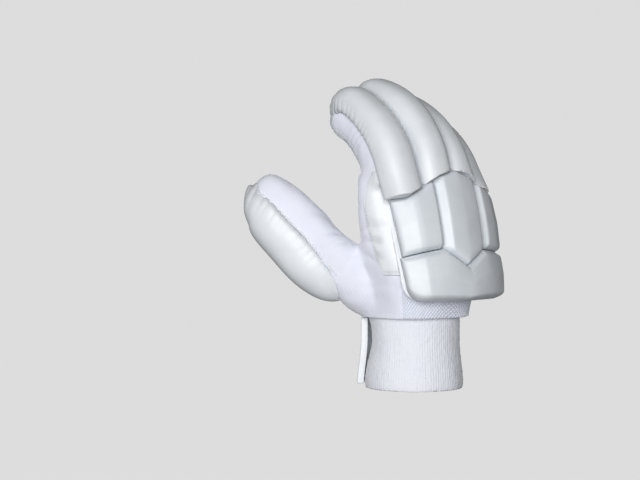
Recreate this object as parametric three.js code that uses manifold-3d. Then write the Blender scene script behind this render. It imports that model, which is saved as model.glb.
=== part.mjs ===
// A padded batting glove for the right hand, standing as it does on a raised hand.
// Millimetres. +Z runs up the arm to the fingers, the back of the hand faces -Y and the thumb lies towards -X.
// The origin is the middle of the cuff's mouth, where the hand goes in.

import * as THREE from "three";
import { mergeVertices } from "three/addons/utils/BufferGeometryUtils.js";
import Module from "manifold-3d";

const wasm = await Module();
wasm.setup();

// Walls, and the space between sewn pieces
const gap = 0.35;
const clothWall = 1.8;
const leatherWall = 2.4;
const patchWall = 1.2;

// Cuff: a towelling tube, waisted below the hem of the hand
const cuffHeight = 66;
const cuffMouthRadius = 42;
const cuffNeckRadius = 38.5;
const cuffWall = 3;
const hemOverlap = 6;

// Hand: the cloth body from its hem to the roots of the fingers
const handHeight = 122;
const handWidth = 120;
const handDepth = 46;
const knuckleLean = 15;

// Back of the hand: padded blocks on an arched base panel
const backWidth = 112;
const backHeight = 112;
const backFoot = 15; // the lowest block starts this far above the hem
const backOffset = 51.5; // from the glove's middle to the base panel's face
const backShift = 2; // of the back's middle line towards the little finger
const backStartLean = 7;
const backEndLean = 17;
const archRadius = 95;
const panelPadding = 12; // under the base panel's middle, down to the hand
const blockThickness = 15;
const blockGap = 0.8;

// Fingers: cloth sleeves with a padded roll along each back
const fingerLength = 96; // of the middle finger's sleeve
const fingerWidth = 28.4;
const fingerDepth = 33;
const fingerRootReach = 16; // how far a sleeve starts inside the hand
const fingertipRound = 13;
const rollWidth = 33.5;
const rollHeight = 33; // from the sleeve's middle line to the roll's ridge
const rollSeam = 13; // from the sleeve's middle line to the roll's seam
const rollTipReach = 3;
const rollTipRound = 24;
const rollTipWrap = 22; // of the fingertip, from its end
const rollRootReach = 34; // how far a roll starts under the knuckle pads, before it is trimmed to them
const rollUnderlap = 4; // of the roll's flanks below its seam

// Thumb: a cloth sleeve with a padded roll along its outside
const thumbWidth = 44;
const thumbDepth = 41;
const thumbRoot = new THREE.Vector3(-28.5, 15.5, 77);
const thumbBend = new THREE.Vector3(-84, 56.5, 155);
const thumbTip = new THREE.Vector3(-98, 78, 166);
const thumbOutward = new THREE.Vector3(-0.6, 0.4, -0.69);
const thumbRootReach = -14; // where the thumb's sleeve starts, inside the hand
const thumbPadWidth = 45;
const thumbPadHeight = 42; // from the sleeve's middle line to the pad's ridge
const thumbPadSeam = 14;
const thumbPadStart = 18;
const thumbTipReach = 12;
const thumbTipRound = 17;
const thumbRootRound = 30;
const thumbPadTipReach = 16;

// Wrist strap: a leather band on the palm side of the cuff. Angles in degrees, from the palm to the thumb's side.
const strapHeight = 56;
const strapFoot = 4;
const strapWall = 2.4;
const strapStart = -112;
const strapEnd = 52;
const strapLift = 4.5; // of its free end, off the cuff

// x and y: shares of handWidth and handDepth, where a finger leaves the hand.
// turn: degrees that its roll faces round to the side. spread: sideways mm for each mm of length.
// reach: its length, as a share of fingerLength.
const fingers = [
  { name: "index", x: -0.367, y: -0.2, turn: -4, spread: -0.03, startLean: 20, endLean: 78, reach: 0.8125, size: 1 },
  { name: "middle", x: -0.096, y: -0.35, turn: -2, spread: -0.02, startLean: 13, endLean: 92, reach: 1, size: 0.98 },
  { name: "ring", x: 0.142, y: -0.24, turn: 4, spread: 0, startLean: 25, endLean: 84, reach: 0.854, size: 0.94 },
  { name: "little", x: 0.354, y: 0.05, turn: 12, spread: 0.02, startLean: 32, endLean: 80, reach: 0.667, size: 0.84 },
];

// up: share of handHeight. width: share of handWidth. depth, back and arch: shares of handDepth, where
// back is how far the middle lies behind the cuff's and arch how far the edges curl to the palm.
const handSections = [
  { up: -0.1, width: 0.69, depth: 1.78, back: 0, arch: 0 },
  { up: 0, width: 0.69, depth: 1.78, back: 0, arch: 0 },
  { up: 0.1, width: 0.72, depth: 1.78, back: 0.03, arch: 0 },
  { up: 0.25, width: 0.8, depth: 1.68, back: 0.11, arch: 0 },
  { up: 0.41, width: 0.9, depth: 1.42, back: 0.2, arch: 0.08 },
  { up: 0.61, width: 0.98, depth: 1.14, back: 0.25, arch: 0.17 },
  { up: 0.82, width: 1, depth: 0.94, back: 0.26, arch: 0.25 },
  { up: 1, width: 0.99, depth: 0.79, back: 0.24, arch: 0.28 },
  { up: 1.2, width: 0.99, depth: 0.76, back: 0.14, arch: 0.28 },
];

// Lines across the back that part the blocks. u and v: shares of backWidth and backHeight.
const footLine = [
  { u: -0.56, v: 0.02 },
  { u: 0, v: 0 },
  { u: 0.56, v: 0.02 },
];
const lowerLine = [
  { u: -0.475, v: 0.345 },
  { u: -0.14, v: 0.39 },
  { u: 0.03, v: 0.255 },
  { u: 0.225, v: 0.385 },
  { u: 0.57, v: 0.375 },
];
const rollLine = [
  { u: -0.5, v: 0.79 },
  { u: -0.37, v: 0.79 },
  { u: -0.14, v: 0.92 },
  { u: 0.03, v: 0.98 },
  { u: 0.225, v: 0.91 },
  { u: 0.55, v: 0.8 },
];

// left and right: a block's sides at its foot and head, in shares of backWidth. The bevels are shares of its width.
const blocks = [
  { name: "index_knuckle_pad", left: [-0.44, -0.475], right: [-0.14, -0.14], bevelLeft: 0.4, bevelRight: 0.1, foot: lowerLine, head: rollLine },
  { name: "centre_knuckle_pad", left: [-0.14, -0.14], right: [0.225, 0.225], bevelLeft: 0.14, bevelRight: 0.1, foot: lowerLine, head: rollLine },
  { name: "little_knuckle_pad", left: [0.225, 0.225], right: [0.57, 0.54], bevelLeft: 0.3, bevelRight: 0.22, foot: lowerLine, head: rollLine },
  { name: "lower_back_pad", left: [-0.43, -0.455], right: [0.55, 0.57], bevelLeft: 0.14, bevelRight: 0.09, foot: footLine, head: lowerLine },
];
const basePanel = { left: [-0.43, -0.51], right: [0.56, 0.56], foot: footLine, head: rollLine };

// along: share of a block's height. thick: how much of its thickness it keeps there.
const blockRows = [
  { along: 0, thick: 0.5 },
  { along: 0.05, thick: 0.86 },
  { along: 0.13, thick: 1 },
  { along: 0.38, thick: 1.06 },
  { along: 0.62, thick: 1.06 },
  { along: 0.87, thick: 1 },
  { along: 0.95, thick: 0.86 },
  { along: 1, thick: 0.5 },
];

// Patches sewn to the hand. along: share of handHeight. from and to: degrees round the hand, from the thumb's
// side (0) over the back (90), the little finger's side (180) and the palm (270).
const sidePanelRows = [
  { along: 0.33, from: 12, to: 42 },
  { along: 0.45, from: 9, to: 46 },
  { along: 0.61, from: 6, to: 47 },
  { along: 0.78, from: 3, to: 46 },
  { along: 0.9, from: 3, to: 42 },
  { along: 1, from: 13, to: 32 },
];
const wristPanelRows = [
  { along: 0.015, from: 33.75, to: 146.25 },
  { along: 0.1, from: 33.75, to: 146.25 },
  { along: 0.2, from: 33.75, to: 146.25 },
];
const palmPatchRows = [
  { along: 0.57, from: 226, to: 276 },
  { along: 0.74, from: 224, to: 280 },
  { along: 0.89, from: 226, to: 282 },
];
const palmPointRows = [
  { along: 0.56, from: 299, to: 304 },
  { along: 0.7, from: 297, to: 316 },
  { along: 0.85, from: 294, to: 324 },
  { along: 0.96, from: 294, to: 324 },
];

// Patches on the palm side of the fingers. start and end: shares of the finger's length. Angles as for the hand.
const fingerPatches = [
  { name: "index_palm_strip", finger: "index", start: 0.04, end: 0.64, from: 232, to: 306 },
  { name: "index_tip_patch", finger: "index", start: 0.665, end: 0.935, from: 230, to: 310 },
  { name: "middle_palm_patch", finger: "middle", start: 0.375, end: 0.73, from: 234, to: 306 },
  { name: "ring_palm_patch", finger: "ring", start: 0.365, end: 0.73, from: 234, to: 306 },
  { name: "little_palm_patch", finger: "little", start: 0.345, end: 0.72, from: 234, to: 306 },
];

const up = new THREE.Vector3(0, 0, 1);
const across = new THREE.Vector3(1, 0, 0);
const backward = new THREE.Vector3(0, -1, 0);
const toRadians = THREE.MathUtils.degToRad;
const mix = THREE.MathUtils.lerp;
const clamp = THREE.MathUtils.clamp;
const smooth = THREE.MathUtils.smoothstep;

// Leather and cloth, as the photograph shows them
const finish = (color, roughness) => new THREE.MeshStandardMaterial({ color, roughness, metalness: 0 });
const leather = finish(0xe6e9ec, 0.5);
const greyLeather = finish(0xcdd4dc, 0.5);
const palmLeather = finish(0xcfd6d8, 0.6);
const cloth = finish(0xe3e7f2, 0.85);
const knit = finish(0xd9dde6, 0.9);
const towelling = finish(0xe9edf6, 0.95);

const group = new THREE.Group();

// One of three's own shapes, with its shared corners merged and each corner then moved to its place.
function shaped(base, place) {
  base.deleteAttribute("normal");
  base.deleteAttribute("uv");
  const merged = mergeVertices(base, 1e-5);
  const corners = merged.attributes.position;
  const corner = new THREE.Vector3();
  for (let i = 0; i < corners.count; i++) {
    const moved = place(corner.fromBufferAttribute(corners, i));
    corners.setXYZ(i, moved.x, moved.y, moved.z);
  }
  return new wasm.Manifold(
    new wasm.Mesh({ numProp: 3, vertProperties: corners.array, triVerts: merged.index.array }),
  );
}

// A closed tube through rings of points, each counterclockwise as seen from the last one.
function loft(rings) {
  const sides = rings[0].length;
  const steps = rings.length - 1;
  return shaped(new THREE.CylinderGeometry(1, 1, 1, sides, steps), (corner) => {
    const ring = rings[Math.round((0.5 + corner.y) * steps)];
    if (Math.hypot(corner.x, corner.z) > 0.5) {
      const turn = Math.atan2(corner.x, corner.z) / (2 * Math.PI);
      return ring[(Math.round(turn * sides) + sides) % sides];
    }
    const middle = new THREE.Vector3();
    for (const point of ring) middle.addScaledVector(point, 1 / sides);
    return middle;
  });
}

// A plate with one column for each x and one row for each y. place gives its lower (0) and upper (1) points.
function plate(xs, ys, place) {
  const base = new THREE.BoxGeometry(1, 1, 1, xs.length - 1, ys.length - 1, 1);
  const at = (list, share) => list[Math.round((share + 0.5) * (list.length - 1))];
  return shaped(base, (corner) => place(at(xs, corner.x), at(ys, corner.y), corner.z + 0.5));
}

function evenly(from, to, count) {
  return Array.from({ length: count + 1 }, (_, i) => mix(from, to, i / count));
}

// Stations along a length, closer together near its far end
function stations(from, to, count, crowd = 1.5) {
  return evenly(0, 1, count).map((share) => mix(from, to, 1 - (1 - share) ** crowd));
}

// Everything on the far side of a plane
function beyond(point, direction) {
  const reach = 4 * handHeight;
  const box = new THREE.BoxGeometry(reach, reach, reach).translate(0, 0, reach / 2);
  box.applyQuaternion(new THREE.Quaternion().setFromUnitVectors(up, direction));
  return shaped(box, (corner) => corner.add(point));
}

function addPiece(name, solid, material) {
  const largest = solid.decompose().reduce((most, body) => (body.volume() > most.volume() ? body : most));
  const made = largest.getMesh();
  const geometry = new THREE.BufferGeometry();
  geometry.setAttribute("position", new THREE.BufferAttribute(made.vertProperties, 3));
  geometry.setIndex(new THREE.BufferAttribute(made.triVerts, 1));
  geometry.computeVertexNormals();
  const mesh = new THREE.Mesh(geometry, material);
  mesh.name = name;
  group.add(mesh);
  return largest;
}

const squared = (value, power) => Math.sign(value) * Math.abs(value) ** (2 / power);

// A point on a frame's ring, out at an angle from its side to its back. power squares the ring's corners,
// and arch curls its sides to the palm.
function ringPoint(frame, { side, back, palm = back, power = 2.2, arch = 0 }, angle) {
  const x = squared(Math.cos(angle), power);
  const y = squared(Math.sin(angle), power);
  const rise = y * (y > 0 ? back : palm) - arch * x * x;
  return frame.middle.clone().addScaledVector(frame.side, x * side).addScaledVector(frame.back, rise);
}

function ring(frame, shape, count) {
  return evenly(0, 2 * Math.PI, count).slice(0, -1).map((angle) => ringPoint(frame, shape, angle));
}

// A frame whose back and side stand square to its run. Its side points to the thumb for the hand's back.
function frameAt(middle, run, back) {
  const square = back.clone().addScaledVector(run, -back.dot(run)).normalize();
  return { middle, run, back: square, side: square.clone().cross(run).normalize() };
}

// A path that leans further to the palm as it goes, and runs straight on past its ends
function bendAlong(startLean, endLean, length, along) {
  const start = toRadians(startLean);
  const bend = (toRadians(endLean) - start) / length;
  const inside = clamp(along, 0, length);
  const lean = start + bend * inside;
  const past = along - inside;
  const y = (Math.cos(start) - Math.cos(lean)) / bend + past * Math.sin(lean);
  const z = (Math.sin(lean) - Math.sin(start)) / bend + past * Math.cos(lean);
  return { y, z, lean };
}

// How much of its size a rounded end keeps over the last of its length
function roundedEnd(along, length, reach) {
  const into = clamp((along - (length - reach)) / reach, 0, 0.99);
  return Math.sqrt(1 - into * into);
}

// Cuff

function cuffRadius(height) {
  return mix(cuffMouthRadius, cuffNeckRadius, smooth(height, 0, cuffHeight * 0.82));
}

// A point on the cuff's outside, at degrees from the palm to the thumb's side
function cuffPoint(degrees, height, out) {
  const radius = cuffRadius(height) + out;
  return new THREE.Vector3(-radius * Math.sin(toRadians(degrees)), radius * Math.cos(toRadians(degrees)), height);
}

// A band on the cuff, whose free end stands off it
function bandPlate(from, to, slant, foot, head, low, high, columns) {
  return plate(evenly(0, 1, columns), evenly(foot, head, 2), (share, height, top) => {
    const degrees = mix(from, to + slant * (height - foot), share);
    return cuffPoint(degrees, height, mix(low, high, top) + strapLift * smooth(degrees, strapEnd - 30, strapEnd));
  });
}

function cuffLoft(out, from, to) {
  const upright = (height) => ({ middle: new THREE.Vector3(0, 0, height), side: across.clone().negate(), back: backward });
  return loft(
    evenly(from, to, 3).map((height) => {
      const radius = cuffRadius(height) + out;
      return ring(upright(height), { side: radius, back: radius, power: 2 }, 26);
    }),
  );
}

// Hand

const hemHeight = cuffHeight - hemOverlap;
const knuckleHeight = hemHeight + handHeight;
const knuckleDirection = new THREE.Vector3(0, Math.sin(toRadians(knuckleLean)), Math.cos(toRadians(knuckleLean)));
const knucklePoint = new THREE.Vector3(0, 0, knuckleHeight);
const knucklePlane = (out) => beyond(knucklePoint.clone().addScaledVector(knuckleDirection, out), knuckleDirection);

// The hand's section at a share of its height, mixed from the two rows round it
function handSection(share) {
  const next = Math.max(1, handSections.findIndex((row) => row.up >= Math.min(share, 1.2)));
  const [a, b] = [handSections[next - 1], handSections[next]];
  const value = (key) => mix(a[key], b[key], (share - a.up) / (b.up - a.up));
  const middle = new THREE.Vector3(0, -value("back") * handDepth, hemHeight + share * handHeight);
  return {
    frame: { middle, side: across.clone().negate(), back: backward },
    side: (value("width") * handWidth) / 2,
    back: (value("depth") * handDepth) / 2,
    arch: value("arch") * handDepth,
  };
}

// A point on the hand at degrees round it
function handPoint(degrees, share, out) {
  const { frame, side, back, arch } = handSection(share);
  return ringPoint(frame, { side: side + out, back: back + out, power: 2.5, arch }, toRadians(degrees));
}

function handLoft(out, from = 0) {
  return loft(
    handSections.filter((row) => row.up >= from).map((row) => {
      const { frame, side, back, arch } = handSection(row.up);
      return ring(frame, { side: side + out, back: back + out, power: 2.5, arch }, 32);
    }),
  );
}

// Fingers

for (const finger of fingers) finger.length = finger.reach * fingerLength;

function fingerFrame(finger, along) {
  const { y, z, lean } = bendAlong(finger.startLean, finger.endLean, finger.length, along);
  const x = finger.x * handWidth + finger.spread * along;
  const middle = new THREE.Vector3(x, finger.y * handDepth + y, knuckleHeight + z);
  const run = new THREE.Vector3(0, Math.sin(lean), Math.cos(lean));
  const back = new THREE.Vector3(0, -Math.cos(lean), Math.sin(lean));
  return frameAt(middle, run, back.applyAxisAngle(run, toRadians(finger.turn)));
}

function fingerShape(finger, along, out, end) {
  const slim = finger.size * mix(1, 0.88, smooth(along, 0, finger.length));
  const drawn = roundedEnd(along, end, fingertipRound);
  return {
    side: ((fingerWidth / 2) * slim + out) * drawn,
    back: ((fingerDepth / 2) * slim + out) * drawn,
  };
}

// A point on a finger's sleeve at degrees round it
function fingerPoint(finger, degrees, along, out) {
  return ringPoint(fingerFrame(finger, along), fingerShape(finger, along, out, finger.length + out), toRadians(degrees));
}

function fingerLoft(finger, out, from = -fingerRootReach) {
  const end = finger.length + out;
  return loft(
    stations(from, end, 8).map((along) => ring(fingerFrame(finger, along), fingerShape(finger, along, out, end), 12)),
  );
}

// The padded roll on a finger's back. Its flanks start at the seam, and it wraps the fingertip.
function rollLoft(finger, out = 0) {
  const end = finger.length + rollTipReach + out;
  return loft(
    stations(-rollRootReach, end, 11, 1.6).map((along) => {
      const frame = fingerFrame(finger, along);
      const wrap = smooth(along, finger.length - rollTipWrap, finger.length - 4);
      const drawn = roundedEnd(along, end, rollTipRound);
      const sized = (half) => (half * finger.size + out) * drawn;
      const side = sized((rollWidth / 2) * mix(1, 0.94, smooth(along, 0, finger.length)));
      const back = sized(mix(rollHeight, rollHeight * 0.95, smooth(along, 0, end)) - rollSeam);
      const palm = sized(mix(rollUnderlap, rollSeam + 3, wrap));
      frame.middle.addScaledVector(frame.back, rollSeam * finger.size * drawn);
      return ring(frame, { side, back, palm, power: 2.5 }, 16);
    }),
  );
}

// Thumb

const thumbPath = new THREE.QuadraticBezierCurve3(thumbRoot, thumbBend, thumbTip);
const thumbLength = thumbPath.getLength();

function thumbFrame(along) {
  const share = clamp(along / thumbLength, 0, 1);
  const run = thumbPath.getTangentAt(share);
  const middle = thumbPath.getPointAt(share).addScaledVector(run, along - share * thumbLength);
  return frameAt(middle, run, thumbOutward);
}

function thumbLoft(out) {
  const end = thumbLength + thumbTipReach + out;
  const start = thumbRootReach - out;
  return loft(
    stations(start, end, 9, 1.2).map((along) => {
      const slim = mix(1.12, 0.8, smooth(along, 0.3 * thumbLength, thumbLength));
      const drawn = roundedEnd(along, end, thumbTipRound) * roundedEnd(-along, -start, thumbRootRound);
      const sized = (half) => (half * slim + out) * drawn;
      return ring(thumbFrame(along), { side: sized(thumbDepth / 2), back: sized(thumbWidth / 2) }, 16);
    }),
  );
}

// The padded roll on the thumb's outside. It starts as a blunt end at the hand and wraps the thumb's tip.
function thumbPadLoft() {
  const end = thumbLength + thumbPadTipReach;
  return loft(
    stations(thumbPadStart, end, 12, 1.2).map((along) => {
      const frame = thumbFrame(along);
      const drawn = roundedEnd(along, end, 30) * roundedEnd(-along, -thumbPadStart, 22);
      const wrap = smooth(along, thumbLength - 24, thumbLength + 6);
      const back = (thumbPadHeight - thumbPadSeam) * mix(1, 0.92, smooth(along, 0, end)) * drawn;
      const palm = mix(6, 15, wrap) * drawn;
      frame.middle.addScaledVector(frame.back, thumbPadSeam * mix(1, drawn, wrap));
      return ring(frame, { side: (thumbPadWidth / 2) * mix(1, 0.86, wrap) * drawn, back, palm, power: 2.3 }, 16);
    }),
  );
}

const thumbCut = thumbFrame(0.5 * thumbLength);
const thumbPlane = (out) => beyond(thumbCut.middle.clone().addScaledVector(thumbCut.run, out), thumbCut.run);

// Back of the hand

// A point on the arched back: across and up the base panel's face, and out from it
function backPoint(u, v, out) {
  const { y, z, lean } = bendAlong(backStartLean, backEndLean, backHeight, v);
  const outward = new THREE.Vector3(0, -Math.cos(lean), Math.sin(lean));
  const turn = u / archRadius;
  return new THREE.Vector3(backShift, y - backOffset, hemHeight + backFoot + z)
    .addScaledVector(outward, (archRadius + out) * Math.cos(turn) - archRadius)
    .addScaledVector(across, (archRadius + out) * Math.sin(turn));
}

function lineAt(line, u) {
  const share = clamp(u / backWidth, line[0].u, line.at(-1).u);
  const next = Math.max(1, line.findIndex((corner) => corner.u >= share));
  const [a, b] = [line[next - 1], line[next]];
  return mix(a.v, b.v, (share - a.u) / (b.u - a.u)) * backHeight;
}

// A point over a block: at shares across and up it, moved in from its edges, and out from the panel's face
function blockPoint({ left, right, foot, head }, at, along, inset, out) {
  const from = mix(left[0], left[1], along) * backWidth + inset;
  const to = mix(right[0], right[1], along) * backWidth - inset;
  const u = mix(from, to, at);
  return backPoint(u, mix(lineAt(foot, u) + inset, lineAt(head, u) - inset, along), out);
}

// The shares of a block's width where its foot or head line turns a corner
function cornerShares({ left, right, foot, head }) {
  const share = (u, end) => (u - left[end]) / (right[end] - left[end]);
  const shares = [...foot.map(({ u }) => share(u, 0)), ...head.map(({ u }) => share(u, 1))];
  return shares.filter((at) => at > 0.02 && at < 0.98);
}

// A block's top, bevelled down to its sides and ends, over its flat underside
function blockPlate(block) {
  const { bevelLeft: a, bevelRight: b } = block;
  const profile = [
    { at: 0, high: 0.5 },
    { at: a * 0.45, high: 0.88 },
    { at: a, high: 1 },
    { at: 0.5, high: 1.05 },
    { at: 1 - b, high: 1 },
    { at: 1 - b * 0.45, high: 0.88 },
    { at: 1, high: 0.5 },
  ];
  const high = (at) => {
    const next = Math.max(1, profile.findIndex((point) => point.at >= at));
    const [from, to] = [profile[next - 1], profile[next]];
    return mix(from.high, to.high, (at - from.at) / (to.at - from.at));
  };
  const columns = [...profile.map((point) => point.at), ...cornerShares(block)].sort((x, y) => x - y);
  return plate(columns, blockRows, (at, row, top) =>
    blockPoint(block, at, row.along, blockGap / 2, top * blockThickness * high(at) * row.thick),
  );
}

// A slab of even thickness over a block's outline, grown by a margin
function slab(block, low, high, margin, edgeLow = low) {
  const columns = [...evenly(0, 1, 10), ...cornerShares(block)].sort((x, y) => x - y);
  return plate(columns, evenly(0, 1, 4), (at, along, top) => {
    const under = mix(low, edgeLow, (2 * at - 1) ** 4);
    return blockPoint(block, at, along, -margin, top > 0 ? high : under);
  });
}

// A plate laid on a surface, through rows that each run from one side to the other
function patch(rows, place, low, high, columns = 4) {
  return plate(evenly(0, 1, columns), rows, (share, row, top) =>
    place(mix(row.from, row.to, share), row.along, mix(low, high, top)),
  );
}

// Assembly

const patchLow = gap + 0.3;
const patchHigh = patchLow + patchWall;
const handSpace = handLoft(gap, -0.1).subtract(knucklePlane(gap));
const thumbSpace = thumbLoft(gap);
const sleeveSpaces = fingers.map((finger) => fingerLoft(finger, gap));

addPiece("cuff", cuffLoft(0, 0, cuffHeight).subtract(cuffLoft(-cuffWall, -1, cuffHeight + 1)), towelling);
const strapTop = strapFoot + strapHeight;
const strapHigh = patchLow + strapWall;
addPiece("wrist_strap", bandPlate(strapStart, strapEnd, 0, strapFoot, strapTop, patchLow, strapHigh, 16), leather);
const strapPatch = bandPlate(-34, 22, 0.35, strapFoot + 8, strapTop - 8, strapHigh + patchLow, strapHigh + patchLow + patchWall, 6);
addPiece("strap_patch", strapPatch, greyLeather);

const handOutside = handLoft(0).subtract(knucklePlane(0)).add(thumbLoft(0).subtract(thumbPlane(0)));
const handInside = handLoft(-clothWall, -0.1).subtract(knucklePlane(-clothWall)).add(thumbLoft(-clothWall));
let hand = handOutside.subtract(handInside);
for (const finger of fingers) hand = hand.subtract(fingerLoft(finger, -clothWall));
addPiece("hand_shell", hand, cloth);

fingers.forEach((finger, i) => {
  let sleeve = fingerLoft(finger, 0).intersect(knucklePlane(gap)).subtract(fingerLoft(finger, -clothWall, -20));
  for (const space of sleeveSpaces.slice(0, i)) sleeve = sleeve.subtract(space);
  addPiece(`${finger.name}_finger_sleeve`, sleeve, cloth);
});

const thumbSleeve = thumbLoft(0).intersect(thumbPlane(gap)).subtract(thumbLoft(-clothWall)).subtract(handSpace);
addPiece("thumb_sleeve", thumbSleeve, cloth);
addPiece("thumb_pad", thumbPadLoft().subtract(thumbSpace).subtract(handSpace), leather);

const wristPanel = patch(wristPanelRows, handPoint, patchLow, patchHigh, 10).subtract(handSpace);
addPiece("wrist_panel", wristPanel, knit);
const wristRows = wristPanelRows.map(({ along, from, to }) => ({ along: along * 1.05, from: from - 11.25, to: to + 11.25 }));
const wristSpace = patch(wristRows, handPoint, -5, patchHigh + gap, 12);

const panel = slab(basePanel, -panelPadding, 0, 0, -leatherWall).subtract(handSpace).subtract(wristSpace);
addPiece("back_base_panel", panel, leather);
const panelSpace = slab(basePanel, -25, gap, gap);
for (const block of blocks) {
  const made = blockPlate(block).subtract(handSpace).subtract(panelSpace).subtract(wristSpace);
  addPiece(block.name, made, greyLeather);
}

// Each roll is trimmed to the back panel, to every sleeve and to the rolls before it
const backSpace = slab(basePanel, -25, 40, 2 * gap);
const rollSpaces = fingers.map((finger) => rollLoft(finger, gap));
fingers.forEach((finger, i) => {
  let roll = rollLoft(finger).subtract(handSpace).subtract(backSpace);
  for (const space of [...sleeveSpaces, ...rollSpaces.slice(0, i)]) roll = roll.subtract(space);
  addPiece(`${finger.name}_finger_roll`, roll, leather);
});

const sidePanel = patch(sidePanelRows, handPoint, patchLow, patchLow + leatherWall, 6);
addPiece("side_panel", sidePanel.subtract(handSpace).subtract(backSpace).subtract(rollSpaces[0]).subtract(thumbSpace), leather);
addPiece("palm_patch", patch(palmPatchRows, handPoint, patchLow, patchHigh).subtract(handSpace), palmLeather);
addPiece("palm_point", patch(palmPointRows, handPoint, patchLow, patchHigh).subtract(handSpace), palmLeather);

for (const { name, finger: owner, start, end, from, to } of fingerPatches) {
  const finger = fingers.find((row) => row.name === owner);
  const rows = evenly(start * finger.length, end * finger.length, 3).map((along) => ({ along, from, to }));
  let made = patch(rows, (degrees, along, out) => fingerPoint(finger, degrees, along, out), patchLow, patchHigh);
  for (const space of sleeveSpaces) made = made.subtract(space);
  addPiece(name, made.subtract(handSpace), palmLeather);
}

export default group;
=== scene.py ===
import math
import random

import bmesh
import bpy
from mathutils import Matrix, Vector, noise
from mathutils.bvhtree import BVHTree


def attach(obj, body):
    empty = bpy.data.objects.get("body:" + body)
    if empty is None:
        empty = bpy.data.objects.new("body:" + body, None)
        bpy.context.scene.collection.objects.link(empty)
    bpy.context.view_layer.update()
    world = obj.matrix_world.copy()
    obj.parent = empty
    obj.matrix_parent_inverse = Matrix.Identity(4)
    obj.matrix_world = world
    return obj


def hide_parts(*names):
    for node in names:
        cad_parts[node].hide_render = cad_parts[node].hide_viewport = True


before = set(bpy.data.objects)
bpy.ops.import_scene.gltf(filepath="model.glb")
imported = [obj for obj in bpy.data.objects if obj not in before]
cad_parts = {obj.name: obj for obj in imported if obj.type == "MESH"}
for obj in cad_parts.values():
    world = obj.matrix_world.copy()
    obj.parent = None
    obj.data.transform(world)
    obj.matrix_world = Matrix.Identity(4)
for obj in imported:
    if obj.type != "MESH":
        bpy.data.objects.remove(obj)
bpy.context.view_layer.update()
print("glove: frame loaded,", len(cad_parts), "nodes")

# Sums and shapes. Lengths are in millimetres until a piece is finished.


roundness = 2.2  # of the cloth's sections: 2 is an ellipse, more is squarer
tableBlend = 0.035  # how far a table's rows run into each other, as a share of its length


def mixed(a, b, share):
    return a + (b - a) * share


def clamped(value, low=0.0, high=1.0):
    return max(low, min(high, value))


def eased(value, low, high):
    share = clamped((value - low) / (high - low))
    return share * share * (3 - 2 * share)


def between(rows, at):
    # The values of a table's rows at a place between two of them, a little rounded
    def straight(place):
        place = clamped(place, rows[0][0], rows[-1][0])
        for low, high in zip(rows, rows[1:]):
            if place <= high[0]:
                break
        share = (place - low[0]) / (high[0] - low[0])
        return [mixed(a, b, share) for a, b in zip(low[1:], high[1:])]

    reach = tableBlend * (rows[-1][0] - rows[0][0])
    near = [straight(at + step * reach) for step in (-1, 0, 1)]
    return [(a + 2 * b + c) / 4 for a, b, c in zip(*near)]


def boxed(value, power):
    return math.copysign(abs(value) ** (2 / power), value)


def ripple(point, size, seed=0.0):
    return noise.noise(Vector(point) / size + Vector((seed, 1.7 * seed, 0)))


class Path:
    # A frame along a piece: its middle, the way it runs, its back and its side towards the thumb
    def __init__(self, middle, run, back):
        self.middle = middle
        self.run = run
        self.back = (back - run * back.dot(run)).normalized()
        self.side = self.back.cross(run).normalized()

    def ring(self, angle, side, back, palm, power=roundness, arch=0.0):
        x = boxed(math.cos(angle), power)
        y = boxed(math.sin(angle), power)
        rise = y * (back if y > 0 else palm) - arch * x * x
        return self.middle + self.side * (x * side) + self.back * rise


def bendAlong(startLean, endLean, length, along):
    start = math.radians(startLean)
    bend = (math.radians(endLean) - start) / length
    inside = clamped(along, 0, length)
    lean = start + bend * inside
    past = along - inside
    y = (math.cos(start) - math.cos(lean)) / bend + past * math.sin(lean)
    z = (math.sin(lean) - math.sin(start)) / bend + past * math.cos(lean)
    return y, z, lean


def roundedEnd(along, length, reach):
    # How wide a piece still is where its end is rounded over a reach. It never quite closes.
    into = clamped((along - (length - reach)) / reach, 0, 0.995)
    return math.sqrt(1 - into * into)


# Where the glove's parts lie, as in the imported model

hand = {
    "hem": 60, "height": 122, "width": 120, "depth": 46, "knuckleLean": 15, "power": 2.5,
    # share of its height: width, depth, how far back its middle lies, how far its edges curl to the palm
    "sections": [
        (-0.1, 0.69, 1.78, 0, 0), (0, 0.69, 1.78, 0, 0), (0.1, 0.72, 1.78, 0.03, 0),
        (0.25, 0.8, 1.68, 0.11, 0), (0.41, 0.9, 1.42, 0.2, 0.08), (0.61, 0.98, 1.14, 0.25, 0.17),
        (0.82, 1, 0.94, 0.26, 0.25), (1, 0.99, 0.79, 0.24, 0.28), (1.2, 0.99, 0.76, 0.14, 0.28),
    ],
}
fingers = {
    # the root's place, the turn round the finger's own line, its spread, and how far root and tip lean
    "index": {"x": -44, "y": -9.2, "turn": -4, "spread": -0.03, "leans": (20, 78), "length": 78, "size": 1},
    "middle": {
        "x": -11.5, "y": -16.1, "turn": -2, "spread": -0.02, "leans": (13, 92), "length": 96, "size": 0.98,
    },
    "ring": {"x": 17, "y": -11, "turn": 4, "spread": 0, "leans": (25, 84), "length": 82, "size": 0.94},
    "little": {
        "x": 42.5, "y": 2.3, "turn": 12, "spread": 0.02, "leans": (32, 80), "length": 64, "size": 0.84,
    },
}
sleeve = {"width": 28.4, "depth": 33, "slim": 0.88, "tipRound": 13, "rootReach": 16, "hiddenRoot": 20}
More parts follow.
